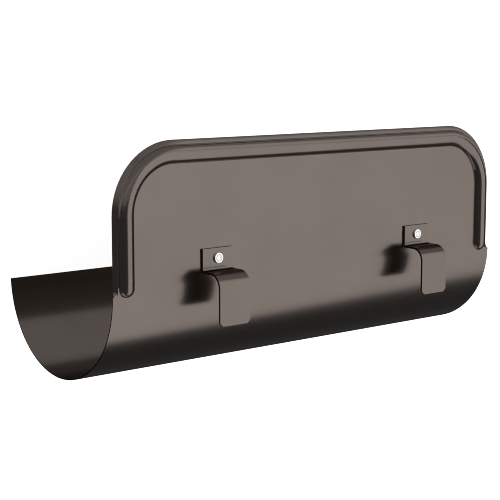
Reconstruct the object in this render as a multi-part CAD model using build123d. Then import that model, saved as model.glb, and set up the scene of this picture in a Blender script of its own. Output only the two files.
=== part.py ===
"""Gutter overflow guard for a half-round gutter.

One sheet is formed to a half-round trough, which lies in the gutter, and an upright splash plate with a
pressed bead and a turned-back lip round its edge. Two hook clips, each held by one blind rivet, grip the
gutter's front.

The guard is modelled as it is used: X along the gutter, Y away from the viewer, Z up, with the origin on
the trough's centre line at mid-length. It is then laid mouth-down, on the trough's back edge and the
plate's top lip, which is how it lies on a level floor.
"""
from build123d import *
from math import asin, atan2, cos, degrees, hypot, radians, sqrt
import os

# Sheet
length = 350.0
trough_radius = 62.5
sheet = 0.8
plate_top = 95.8
back_edge_drop = 3.4
plate_inset = 1.0
corner_radius = 46.0

# Turned-back lip round the plate
lip_width = 3.0
lip_depth = 1.6
lip_fade = 3.0

# Pressed bead beside the lip
land_width = 0.8
bead_width = 11.4
bead_height = 4.3
bead_end_height = 4.6

# Hook clips
clip_width = 25.0
clip_thickness = 1.5
clip_inset = 81.6
clip_top = 24.3
arm_top = 9.9
arm_bend = 1.4
throat_width = 18.0
hook_radius = 9.8
hook_bottom = 24.1
hook_corner = 2.4

# Blind rivets
rivet_height = 17.7
shank_diameter = 3.2
hole_clearance = 0.1
head_diameter = 7.1
head_height = 1.3
head_round = 0.35
blind_diameter = 4.8
blind_length = 3.6
blind_round = 1.4
mandrel_diameter = 2.4
mandrel_depth = 0.2

# Worked out from the sizes above
plate_face = -trough_radius
plate_back = plate_face + sheet
plate_half = length / 2 - plate_inset
bead_inset = lip_width + land_width + bead_width / 2
bead_arc = ((bead_width / 2) ** 2 + bead_height**2) / (2 * bead_height)
bead_sink = bead_arc - bead_height
clip_face = plate_face - clip_thickness
hook_back = plate_face - throat_width
hook_face = hook_back - clip_thickness
clip_places = {"left": clip_inset - length / 2, "right": length / 2 - clip_inset}
hole_radius = shank_diameter / 2 + hole_clearance
overrun = 0.5 * sheet


def facing(y):
    """Sketch plane facing the viewer at depth y, with X to the right and Z up."""
    return Plane(origin=(0, y, 0), x_dir=(1, 0, 0), z_dir=(0, -1, 0))


def across(x):
    """Sketch plane across the guard at x, with Y to the right and Z up."""
    return Plane(origin=(x, 0, 0), x_dir=(0, 1, 0), z_dir=(1, 0, 0))


def level(z):
    """Sketch plane at height z, with X to the right and Y away from the viewer."""
    return Plane(origin=(0, 0, z), x_dir=(1, 0, 0), z_dir=(0, 0, 1))


def border_path(inset, end_height, y):
    """Path up the left side, over the top and down the right side, at one inset from the plate's outline."""
    half = plate_half - inset
    top = plate_top - inset
    radius = corner_radius - inset
    turn = radius * (1 - cos(radians(45)))
    left = Line((-half, end_height), (-half, top - radius))
    left_arc = ThreePointArc(left @ 1, (-half + turn, top - turn), (-half + radius, top))
    over = Line(left_arc @ 1, (half - radius, top))
    right_arc = ThreePointArc(over @ 1, (half - turn, top - turn), (half, top - radius))
    right = Line(right_arc @ 1, (half, end_height))
    return facing(y) * Wire([left, left_arc, over, right_arc, right])


def plate_panel():
    """Flat of the plate, out to the line where the lip turns back."""
    width = 2 * (plate_half - lip_width)
    height = plate_top - lip_width
    outline = Pos(0, height / 2) * Rectangle(width, height)
    outline = fillet(outline.vertices().group_by(Axis.Y)[-1], corner_radius - lip_width)
    return extrude(facing(plate_back) * outline, sheet)


def trough():
    """Half-round channel, from the plate's foot round to its free back edge."""
    turn = 180 - degrees(asin(back_edge_drop / trough_radius))
    outer = CenterArc((0, 0), trough_radius, 180, turn)
    inner = CenterArc((0, 0), trough_radius - sheet, 180, turn)
    section = make_face([outer, inner, Line(outer @ 0, inner @ 0), Line(outer @ 1, inner @ 1)])
    return extrude(across(-length / 2) * section, length)


def lip():
    """Narrow strip turned back all round the plate, fading into the plate's foot at its two lower ends."""
    run = hypot(lip_width, lip_depth)
    edge_x = -plate_half
    root = (edge_x + lip_width, plate_face)
    edge = (edge_x, plate_face + lip_depth)
    edge_back = (edge[0] + sheet * lip_depth / run, edge[1] + sheet * lip_width / run)
    root_back = (root[0], plate_back)
    tilted = level(lip_fade) * make_face(Polyline(root, edge, edge_back, root_back, close=True))
    strip = sweep(tilted, border_path(lip_width, lip_fade, plate_face))
    flat_outline = Polyline(root, (edge_x, plate_face), (edge_x, plate_back), root_back, close=True)
    flat = level(0) * make_face(flat_outline)
    fade = loft([flat, tilted], ruled=True)
    return strip + fade + mirror(fade, about=Plane.YZ)


def bead(radius, depth):
    """Solid of the pressed bead with its round ends, out to one radius and back to a depth behind the face."""
    half = sqrt(radius**2 - (bead_sink - depth) ** 2)
    axis_x = bead_inset - plate_half
    base = plate_face + depth
    crown = (axis_x, plate_face + bead_sink - radius)
    middle = (axis_x, base)
    foot = (axis_x + half, base)
    other_foot = (axis_x - half, base)
    end_plane = level(bead_end_height)
    section = make_face([ThreePointArc(other_foot, crown, foot), Line(foot, other_foot)])
    leg = sweep(end_plane * section, border_path(bead_inset, bead_end_height, plate_face))
    quarter = make_face([RadiusArc(crown, foot, -radius), Line(foot, middle), Line(middle, crown)])
    end = revolve(end_plane * quarter, Axis((axis_x, base, bead_end_height), (0, 1, 0)), 360)
    return leg + end + mirror(end, about=Plane.YZ)


def rivet_hole(x):
    """Drill for one rivet's shank, through the clip and the sheet."""
    span = clip_thickness + sheet + 2 * overrun
    drill = Cylinder(hole_radius, span, align=(Align.CENTER, Align.CENTER, Align.MIN))
    return facing(plate_back + overrun).location * Pos(x, rivet_height, 0) * drill


def guard_sheet():
    """The formed sheet: trough, splash plate, lip and bead, with the two rivet holes."""
    body = trough() + plate_panel() + lip() + bead(bead_arc, 0)
    body -= bead(bead_arc - sheet, sheet + overrun)
    for x in clip_places.values():
        body -= rivet_hole(x)
    return body


def clip(x):
    """Hook clip: a tab on the plate, an arm outward, a wide bend and a tab hanging down in front."""
    arm_under = arm_top - clip_thickness
    arm_turn = (clip_face - arm_bend, arm_top + arm_bend)
    hook_turn = (hook_face + hook_radius, arm_top - hook_radius)
    tab = Polyline(
        (plate_face, arm_turn[1]),
        (plate_face, clip_top),
        (clip_face, clip_top),
        (clip_face, arm_turn[1]),
    )
    hanging_tab = Polyline(
        (hook_face, hook_turn[1]),
        (hook_face, -hook_bottom),
        (hook_back, -hook_bottom),
        (hook_back, hook_turn[1]),
    )
    outline = [
        tab,
        CenterArc(arm_turn, arm_bend, 0, -90),
        Line((arm_turn[0], arm_top), (hook_turn[0], arm_top)),
        CenterArc(hook_turn, hook_radius, 90, 90),
        hanging_tab,
        CenterArc(hook_turn, hook_radius - clip_thickness, 90, 90),
        Line((hook_turn[0], arm_under), (arm_turn[0], arm_under)),
        CenterArc(arm_turn, arm_bend + clip_thickness, 0, -90),
    ]
    strip = extrude(across(x - clip_width / 2) * make_face(outline), clip_width)
    corners = strip.edges().filter_by(Axis.Y).group_by(Axis.Z)[0]
    return chamfer(corners, hook_corner) - rivet_hole(x)


def rivet(x):
    """Blind rivet: low head on the clip, shank through both holes, formed end behind the sheet."""
    head_radius = head_diameter / 2
    shank_radius = shank_diameter / 2
    blind_radius = blind_diameter / 2
    grip = clip_thickness + sheet
    end = grip + blind_length
    rim = (head_radius, -head_height)
    tip = (blind_radius, end)
    profile = make_face(Polyline(
        (0, -head_height),
        rim,
        (head_radius, 0),
        (shank_radius, 0),
        (shank_radius, grip),
        (blind_radius, grip),
        tip,
        (0, end),
        close=True,
    ))
    profile = fillet(profile.vertices().sort_by_distance(rim)[0], head_round)
    profile = fillet(profile.vertices().sort_by_distance(tip)[0], blind_round)
    recess = Cylinder(mandrel_diameter / 2, 2 * mandrel_depth, rotation=(90, 0, 0))
    body = revolve(profile, Axis.Y, 360) - Pos(0, -head_height, 0) * recess
    return Pos(x, clip_face, rivet_height) * body


def lay_down(piece):
    """Turns the upright guard mouth-down, so that the trough's back edge and the plate's lip meet the floor."""
    run = hypot(lip_width, lip_depth)
    back_y = sqrt(trough_radius**2 - back_edge_drop**2)
    lip_y = plate_face + lip_depth + sheet * lip_width / run
    lip_z = plate_top - sheet * lip_depth / run
    rise = lip_z + back_edge_drop
    reach = back_y - lip_y
    facing_down = degrees(atan2(reach, rise))
    turned = piece.rotate(Axis.X, -90 - facing_down).rotate(Axis.Z, 180)
    floor = -(back_y * rise - back_edge_drop * reach) / hypot(rise, reach)
    return Pos(0, 0, -floor) * turned


def pieces():
    """All pieces by name, laid as they rest on the floor."""
    upright = {"guard_sheet": guard_sheet()}
    for side, x in clip_places.items():
        upright["clip_" + side] = clip(x)
        upright["rivet_" + side] = rivet(x)
    laid = {name: lay_down(piece) for name, piece in upright.items()}
    boxes = [piece.bounding_box() for piece in laid.values()]
    middle = (min(box.min.Y for box in boxes) + max(box.max.Y for box in boxes)) / 2
    centring = Pos(0, -middle, 0)
    return {name: centring * piece for name, piece in laid.items()}


os.makedirs("parts", exist_ok=True)
for name, piece in pieces().items():
    export_step(piece, f"parts/{name}.step")
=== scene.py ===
"""Gutter overflow guard lying mouth-down on a pale studio floor, seen from the photograph's angle."""
from math import atan2, cos, hypot, pi, radians, sin, tan

import bpy
from mathutils import Matrix, Vector


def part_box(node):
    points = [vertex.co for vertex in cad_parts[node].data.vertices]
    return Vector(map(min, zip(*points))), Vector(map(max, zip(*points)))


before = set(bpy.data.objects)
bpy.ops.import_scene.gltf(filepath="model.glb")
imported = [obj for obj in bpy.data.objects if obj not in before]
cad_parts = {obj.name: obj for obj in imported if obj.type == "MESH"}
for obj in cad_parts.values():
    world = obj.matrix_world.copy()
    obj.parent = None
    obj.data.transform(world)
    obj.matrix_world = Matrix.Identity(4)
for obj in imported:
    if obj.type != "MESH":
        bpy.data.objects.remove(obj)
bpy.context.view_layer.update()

# Sizes of the guard in metres, which place the camera and the details of the materials. Heights are over the
# trough's centre line, and rivets lie at the same distance to both sides of the middle
LENGTH = 0.350
TROUGH_RADIUS = 0.0625
BACK_EDGE_DROP = 0.0034
SHEET = 0.0008
PLATE_TOP = 0.0958
PLATE_INSET = 0.0010
PLATE_HALF = LENGTH / 2 - PLATE_INSET
CORNER_RADIUS = 0.0460
LIP_WIDTH = 0.0030
LIP_DEPTH = 0.0016
LAND_WIDTH = 0.0008
RIVET_X = 0.0934
RIVET_HEIGHT = 0.0177

# The photograph's camera, in the guard's upright frame with its origin on the trough's centre line
CAMERA_PLACE = (-0.64044, -0.75661, 0.15040)
CAMERA_YAW = radians(39.653)
CAMERA_PITCH = radians(8.230)
CAMERA_ROLL = radians(0.019)
LENS = 98.58
SENSOR = 36.0
FILTER_WIDTH = 1.0

# Brown coating: its two tones and the near-black painted shade on the cut edges at the sheet's ends, the size of
# its mottling and grain, its gloss, and how much of a plain metal's shine the sheet and the clips keep when seen
# edge-on, the clips' low value being painted shade that darkens their arms
BROWN = (0.206, 0.173, 0.155)
BROWN_SHADE = (0.192, 0.161, 0.144)
CUT_EDGE_SHADE = (0.035, 0.030, 0.028)
CUT_EDGE_DEPTH = 0.00003
MOTTLE_SCALE = 22.0
GRAIN_SCALE = 2600.0
GRAIN_STRENGTH = 0.04
GRAIN_DEPTH = 0.00005
COATING_ROUGHNESS = (0.18, 0.24)
LACQUER_WEIGHT = 0.05
LACQUER_ROUGHNESS = 0.2
SHEET_GRAZING = 0.92
# The clips' low value is painted shade: their coating, the same as the sheet's, shines less edge-on, which
# darkens their arms.
CLIP_GRAZING_SHADE = 0.24

# Rounding of the narrow land between lip and bead: its slope, and the heights over which it starts
CREASE_SLOPE = 0.85
CREASE_FOOT = (0.003, 0.010)

# Bare rivets: their two tones, the fine scratches, their gloss, and a grey ring of painted shade in the head's
# groove
RIVET_SHADE = (0.92, 0.92, 0.92)
RIVET_BRIGHT = (0.98, 0.98, 0.98)
SCRATCH_SCALE = 1400.0
SCRATCH_STRENGTH = 0.1
SCRATCH_DEPTH = 0.00003
RIVET_ROUGHNESS = (0.12, 0.20)
GROOVE_SHADE = (0.36, 0.36, 0.36)
GROOVE_RADIUS = 0.0021
GROOVE_WIDTH = 0.0010

# Floor: half its side, its own colour and dullness, and the brightness added where the camera sees it
FLOOR_HALF = 9.0
FLOOR_GREY = 0.8
FLOOR_ROUGHNESS = 0.9
FLOOR_SHINE = 0.1
FLOOR_LIFT = 0.95

# Bands of the floor that the metal mirrors, where it glows only for mirrored rays as painted reflections, dimmer
# under and behind the guard as painted shade: the brightness before each edge, the edge's place along Y and its
# blur, then the brightness after the last edge
FLOOR_BANDS = (
    (0.95, -0.360, 0.080),
    (0.38, -0.080, 0.004),
    (0.54, -0.045, 0.025),
    (0.43, 0.0685, 0.005),
)
FLOOR_BEHIND = 0.035

# Bright strip of the floor right before the plate's lip, a painted highlight that glows only in reflections from
# close by: its brightness above the band's, its two edges along Y and its end along X with their blur, and the
# ray lengths over which it fades
STRIP_LIFT = 0.58
STRIP_EDGES = ((-0.300, 0.040), (-0.0915, 0.002))
STRIP_END = (0.118, 0.010)
STRIP_REACH = (0.090, 0.130)

# Lamp walls round the guard, all at one distance: azimuths and elevations in degrees, and brightness
SOFTBOX_DISTANCE = 4.0
SOFTBOXES = {
    "key": ((2.0, 62.0), (-68.0, 35.0), 1.0),
    "side_upper": ((-64.0, -2.0), (6.2, 44.0), 0.36),
    "side_lower": ((-110.0, -2.0), (-60.0, 5.0), 0.03),
}
BACK_LAMP_PLACE = (1.0, 2.2, 2.4)
BACK_LAMP_SIZE = (4.0, 2.0)
BACK_LAMP_BRIGHTNESS = 0.55
WORLD_DIM = 0.058

# The middle part of a noise texture's range, in which most of its values lie
NOISE_RANGE = (0.3, 0.7)


def upright_to_row():
    """Matrix from the guard's upright frame to the row frame, in which it lies mouth-down on the floor."""
    lip_run = hypot(LIP_WIDTH, LIP_DEPTH)
    back_y = (TROUGH_RADIUS**2 - BACK_EDGE_DROP**2) ** 0.5
    lip_y = -TROUGH_RADIUS + LIP_DEPTH + SHEET * LIP_WIDTH / lip_run
    lip_z = PLATE_TOP - SHEET * LIP_DEPTH / lip_run
    rise = lip_z + BACK_EDGE_DROP
    reach = back_y - lip_y
    turn = Matrix.Rotation(pi, 4, "Z") @ Matrix.Rotation(-pi / 2 - atan2(reach, rise), 4, "X")
    centre_z = (back_y * rise - BACK_EDGE_DROP * reach) / hypot(rise, reach)
    centre_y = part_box("guard_sheet")[1][1] - TROUGH_RADIUS
    return Matrix.Translation((0.0, centre_y, centre_z)) @ turn


TO_ROW = upright_to_row()


def new_material(name):
    """Material with its nodes, its links and its Principled shader."""
    material = bpy.data.materials.new(name)
    material.use_nodes = True
    nodes, links = material.node_tree.nodes, material.node_tree.links
    return material, nodes, links, nodes["Principled BSDF"]


def object_place(nodes):
    """Place on the object, in its own coordinates, which are those of the row frame."""
    return nodes.new("ShaderNodeTexCoord").outputs["Object"]


def split(nodes, links, coordinates):
    """The three axes of some coordinates."""
    axes = nodes.new("ShaderNodeSeparateXYZ")
    links.new(coordinates, axes.inputs["Vector"])
    return axes.outputs


def noise(nodes, links, coordinates, scale, detail=4.0):
    """Noise texture."""
    texture = nodes.new("ShaderNodeTexNoise")
    texture.inputs["Scale"].default_value = scale
    texture.inputs["Detail"].default_value = detail
    links.new(coordinates, texture.inputs["Vector"])
    return texture.outputs["Fac"]


def spread(nodes, links, value, ends):
    """Maps the middle part of a noise value's range to the range between two ends."""
    mapping = nodes.new("ShaderNodeMapRange")
    mapping.inputs["From Min"].default_value, mapping.inputs["From Max"].default_value = NOISE_RANGE
    mapping.inputs["To Min"].default_value, mapping.inputs["To Max"].default_value = ends
    links.new(value, mapping.inputs["Value"])
    return mapping.outputs["Result"]


def ramp(nodes, links, value, edges, ends=(0.0, 1.0)):
    """Smooth change from one end value to the other between two edges."""
    mapping = nodes.new("ShaderNodeMapRange")
    mapping.interpolation_type = "SMOOTHSTEP"
    mapping.inputs["From Min"].default_value, mapping.inputs["From Max"].default_value = edges
    mapping.inputs["To Min"].default_value, mapping.inputs["To Max"].default_value = ends
    links.new(value, mapping.inputs["Value"])
    return mapping.outputs["Result"]


def compute(nodes, links, operation, *values):
    """Result of a math node, whose inputs are other results or plain numbers."""
    node = nodes.new("ShaderNodeMath")
    node.operation = operation
    for socket, value in zip(node.inputs, values):
        if isinstance(value, float):
            socket.default_value = value
        else:
            links.new(value, socket)
    return node.outputs["Value"]


def distance_from(nodes, links, aside, above):
    """Distance of a place that lies this far aside and this far above."""
    above_square = compute(nodes, links, "MULTIPLY", above, above)
    return compute(nodes, links, "SQRT", compute(nodes, links, "MULTIPLY_ADD", aside, aside, above_square))


def blend(nodes, links, factor, first, second):
    """Colour between two others. The first may be another result."""
    mix = nodes.new("ShaderNodeMix")
    mix.data_type = "RGBA"
    links.new(factor, mix.inputs["Factor"])
    if isinstance(first, tuple):
        mix.inputs["A"].default_value = (*first, 1.0)
    else:
        links.new(first, mix.inputs["A"])
    mix.inputs["B"].default_value = (*second, 1.0)
    return mix.outputs["Result"]


def bump(nodes, links, height, strength, distance, shader):
    """Raises a shader's surface by a height."""
    node = nodes.new("ShaderNodeBump")
    node.inputs["Strength"].default_value = strength
    node.inputs["Distance"].default_value = distance
    links.new(height, node.inputs["Height"])
    links.new(node.outputs["Normal"], shader.inputs["Normal"])


def end_mask(nodes, links, coordinates):
    """One on the cut edges at the sheet's two ends, nought elsewhere."""
    across = compute(nodes, links, "ABSOLUTE", split(nodes, links, coordinates)["X"])
    return compute(nodes, links, "GREATER_THAN", across, LENGTH / 2 - CUT_EDGE_DEPTH)


def upright_place(nodes, links, coordinates):
    """Distance from the guard's middle along X, and height in the upright frame."""
    axes = split(nodes, links, coordinates)
    across = compute(nodes, links, "ABSOLUTE", axes["X"])
    up = TO_ROW.to_3x3() @ Vector((0.0, 0.0, 1.0))
    part = compute(nodes, links, "MULTIPLY", axes["Y"], up.y)
    height = compute(nodes, links, "MULTIPLY_ADD", axes["Z"], up.z, part)
    return across, compute(nodes, links, "SUBTRACT", height, up.dot(TO_ROW.to_translation()))


def beyond(nodes, links, value, limit):
    """How far a value lies beyond a limit, or nought."""
    return compute(nodes, links, "MAXIMUM", compute(nodes, links, "SUBTRACT", value, limit), 0.0)


def crease(nodes, links, coordinates):
    """Height that rounds the narrow land between the lip and the bead, so that it has no flat."""
    across, height = upright_place(nodes, links, coordinates)
    beside = beyond(nodes, links, across, PLATE_HALF - CORNER_RADIUS)
    above = beyond(nodes, links, height, PLATE_TOP - CORNER_RADIUS)
    inset = compute(nodes, links, "SUBTRACT", CORNER_RADIUS, distance_from(nodes, links, beside, above))
    into_land = compute(nodes, links, "MINIMUM", beyond(nodes, links, inset, LIP_WIDTH), LAND_WIDTH)
    slope = ramp(nodes, links, height, CREASE_FOOT, (0.0, CREASE_SLOPE))
    return compute(nodes, links, "MULTIPLY", into_land, slope)


def coating(name, grazing, has_crease):
    """Satin metallic coil coating: faint mottling, fine grain in the lacquer and small changes of gloss."""
    material, nodes, links, shader = new_material(name)
    shader.inputs["Metallic"].default_value = 1.0
    shader.inputs["Specular Tint"].default_value = (grazing, grazing, grazing, 1.0)
    shader.inputs["Coat Weight"].default_value = LACQUER_WEIGHT
    shader.inputs["Coat Roughness"].default_value = LACQUER_ROUGHNESS
    place = object_place(nodes)
    mottle = spread(nodes, links, noise(nodes, links, place, MOTTLE_SCALE), (0.0, 1.0))
    grain = noise(nodes, links, place, GRAIN_SCALE, detail=2.0)
    tone = blend(nodes, links, mottle, BROWN_SHADE, BROWN)
    # The cut edges at both ends take a near-black painted shade.
    colour = blend(nodes, links, end_mask(nodes, links, place), tone, CUT_EDGE_SHADE)
    links.new(colour, shader.inputs["Base Color"])
    links.new(spread(nodes, links, grain, COATING_ROUGHNESS), shader.inputs["Roughness"])
    bump(nodes, links, grain, GRAIN_STRENGTH, GRAIN_DEPTH, shader)
    if has_crease:
        bump(nodes, links, crease(nodes, links, place), 1.0, 1.0, nodes["Bump"])
    return material


def bright_rivet():
    """Bare aluminium with fine turning scratches and a grey ring of painted shade in the head's groove."""
    material, nodes, links, shader = new_material("bare_aluminium")
    shader.inputs["Metallic"].default_value = 1.0
    place = object_place(nodes)
    scratch = noise(nodes, links, place, SCRATCH_SCALE, detail=6.0)
    across, height = upright_place(nodes, links, place)
    aside = compute(nodes, links, "SUBTRACT", across, RIVET_X)
    above = compute(nodes, links, "SUBTRACT", height, RIVET_HEIGHT)
    # Painted shade: a grey ring round the head's middle.
    off = compute(nodes, links, "SUBTRACT", distance_from(nodes, links, aside, above), GROOVE_RADIUS)
    groove_shade = ramp(nodes, links, compute(nodes, links, "ABSOLUTE", off), (0.0, GROOVE_WIDTH / 2), (1.0, 0.0))
    tone = blend(nodes, links, scratch, RIVET_SHADE, RIVET_BRIGHT)
    links.new(blend(nodes, links, groove_shade, tone, GROOVE_SHADE), shader.inputs["Base Color"])
    links.new(spread(nodes, links, scratch, RIVET_ROUGHNESS), shader.inputs["Roughness"])
    bump(nodes, links, scratch, SCRATCH_STRENGTH, SCRATCH_DEPTH, shader)
    return material


def dress(node, material):
    """Gives a CAD piece its material."""
    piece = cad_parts[node]
    piece.data.materials.clear()
    piece.data.materials.append(material)


def bands(nodes, links, value):
    """Brightness of the floor's mirrored bands at a place along Y."""
    brightness = None
    after = FLOOR_BEHIND
    for before, edge, blur in reversed(FLOOR_BANDS):
        result = ramp(nodes, links, value, (edge - blur, edge + blur), (before, after))
        if brightness is not None:
            links.new(brightness, result.node.inputs["To Max"])
        brightness = result
        after = before
    return brightness


def strip_light(nodes, links, place, ray_length):
    """Brightness that the strip before the lip adds to the mirrored bands."""
    (near, near_blur), (far, far_blur) = STRIP_EDGES
    end, end_blur = STRIP_END
    light = ramp(nodes, links, ray_length, STRIP_REACH, (STRIP_LIFT, 0.0))
    for axis, edges, ends in (
        ("Y", (near - near_blur, near + near_blur), (0.0, 1.0)),
        ("Y", (far - far_blur, far + far_blur), (1.0, 0.0)),
        ("X", (end - end_blur, end + end_blur), (1.0, 0.0)),
    ):
        light = compute(nodes, links, "MULTIPLY", light, ramp(nodes, links, place[axis], edges, ends))
    return light


def seen_plainly(nodes, links):
    """One for rays from the camera, straight or through glass, nought for others."""
    rays = nodes.new("ShaderNodeLightPath").outputs
    return compute(nodes, links, "MAXIMUM", rays["Is Camera Ray"], rays["Is Transmission Ray"])


def pale_floor():
    """Wide pale floor: white to the camera, with the guard's shadow kept, and glowing in bands where metal
    mirrors it, as painted reflections.
    """
    mesh = bpy.data.meshes.new("floor")
    corners = [(x * FLOOR_HALF, y * FLOOR_HALF, 0.0) for x, y in ((-1, -1), (1, -1), (1, 1), (-1, 1))]
    mesh.from_pydata(corners, [], [(0, 1, 2, 3)])
    floor = bpy.data.objects.new("floor", mesh)
    bpy.context.scene.collection.objects.link(floor)
    material, nodes, links, shader = new_material("floor_white")
    mesh.materials.append(material)
    shader.inputs["Base Color"].default_value = (FLOOR_GREY, FLOOR_GREY, FLOOR_GREY, 1.0)
    shader.inputs["Roughness"].default_value = FLOOR_ROUGHNESS
    shader.inputs["Specular IOR Level"].default_value = FLOOR_SHINE
    shader.inputs["Emission Color"].default_value = (1.0, 1.0, 1.0, 1.0)
    lift = compute(nodes, links, "MULTIPLY", seen_plainly(nodes, links), FLOOR_LIFT)
    links.new(lift, shader.inputs["Emission Strength"])
    rays = nodes.new("ShaderNodeLightPath").outputs
    place = split(nodes, links, object_place(nodes))
    strip = strip_light(nodes, links, place, rays["Ray Length"])
    # Painted reflections: the floor glows in bands and a strip only for rays that metal mirrors.
    mirrored = nodes.new("ShaderNodeEmission")
    links.new(compute(nodes, links, "ADD", bands(nodes, links, place["Y"]), strip), mirrored.inputs["Strength"])
    either = nodes.new("ShaderNodeMixShader")
    links.new(rays["Is Glossy Ray"], either.inputs["Fac"])
    links.new(shader.outputs["BSDF"], either.inputs[1])
    links.new(mirrored.outputs["Emission"], either.inputs[2])
    links.new(either.outputs["Shader"], nodes["Material Output"].inputs["Surface"])


def lamp(name, size, brightness, place):
    """Rectangular lamp of an even brightness, which shines along the local -Z of its place."""
    light = bpy.data.lights.new(name, "AREA")
    light.shape = "RECTANGLE"
    light.size, light.size_y = size
    light.energy = pi * light.size * light.size_y * brightness
    holder = bpy.data.objects.new(name, light)
    holder.matrix_world = place
    bpy.context.scene.collection.objects.link(holder)


def softbox(name, azimuths, elevations, brightness):
    """Upright lamp wall round the guard. Angles are seen from the guard in its upright frame, azimuths from the
    plate's outward normal towards +X and elevations at the wall's middle."""
    middle = radians(sum(azimuths) / 2)
    low, high = (SOFTBOX_DISTANCE * tan(radians(angle)) for angle in elevations)
    width = 2 * SOFTBOX_DISTANCE * tan(radians(azimuths[1]) - middle)
    turn = Matrix.Rotation(middle, 4, "Z") @ Matrix.Rotation(pi / 2, 4, "X")
    place = TO_ROW @ turn @ Matrix.Translation((0.0, (low + high) / 2, SOFTBOX_DISTANCE))
    lamp(name, (width, high - low), brightness, place)


def back_lamp():
    """Soft lamp high behind the guard, which shows the trough's back."""
    place = Vector(BACK_LAMP_PLACE)
    turn = place.to_track_quat("Z", "Y").to_matrix().to_4x4()
    lamp("back", BACK_LAMP_SIZE, BACK_LAMP_BRIGHTNESS, Matrix.Translation(place) @ turn)


def world_light():
    """Dim, even surroundings, white where the camera sees them."""
    world = bpy.data.worlds.new("studio")
    world.use_nodes = True
    nodes, links = world.node_tree.nodes, world.node_tree.links
    background = nodes["Background"]
    background.inputs["Color"].default_value = (1.0, 1.0, 1.0, 1.0)
    strength = ramp(nodes, links, seen_plainly(nodes, links), (0.0, 1.0), (WORLD_DIM, 1.0))
    links.new(strength, background.inputs["Strength"])
    bpy.context.scene.world = world


def camera():
    """Camera at the photograph's place, carried from the upright frame to the row frame."""
    level_forward = Vector((sin(CAMERA_YAW), cos(CAMERA_YAW), 0.0))
    forward = level_forward * cos(CAMERA_PITCH) - Vector((0.0, 0.0, sin(CAMERA_PITCH)))
    level_right = Vector((cos(CAMERA_YAW), -sin(CAMERA_YAW), 0.0))
    level_up = level_right.cross(forward)
    right = level_right * cos(CAMERA_ROLL) + level_up * sin(CAMERA_ROLL)
    up = level_up * cos(CAMERA_ROLL) - level_right * sin(CAMERA_ROLL)
    turn = Matrix((right, up, -forward)).transposed().to_4x4()
    data = bpy.data.cameras.new("camera")
    data.lens = LENS
    data.sensor_width = SENSOR
    holder = bpy.data.objects.new("camera", data)
    bpy.context.scene.collection.objects.link(holder)
    holder.matrix_world = TO_ROW @ Matrix.Translation(CAMERA_PLACE) @ turn
    bpy.context.scene.camera = holder


sheet_coating = coating("brown_coating", SHEET_GRAZING, has_crease=True)
# The clips get a copy of the coating that shines less edge-on: painted shade on their arms.
clip_coating = coating("brown_clip_coating", CLIP_GRAZING_SHADE, has_crease=False)
rivet_metal = bright_rivet()
dress("guard_sheet", sheet_coating)
for side in ("left", "right"):
    dress("clip_" + side, clip_coating)
    dress("rivet_" + side, rivet_metal)

pale_floor()
world_light()
for name, (azimuths, elevations, brightness) in SOFTBOXES.items():
    softbox(name, azimuths, elevations, brightness)
back_lamp()
camera()
bpy.context.scene.view_settings.view_transform = "Standard"
bpy.context.scene.cycles.filter_width = FILTER_WIDTH
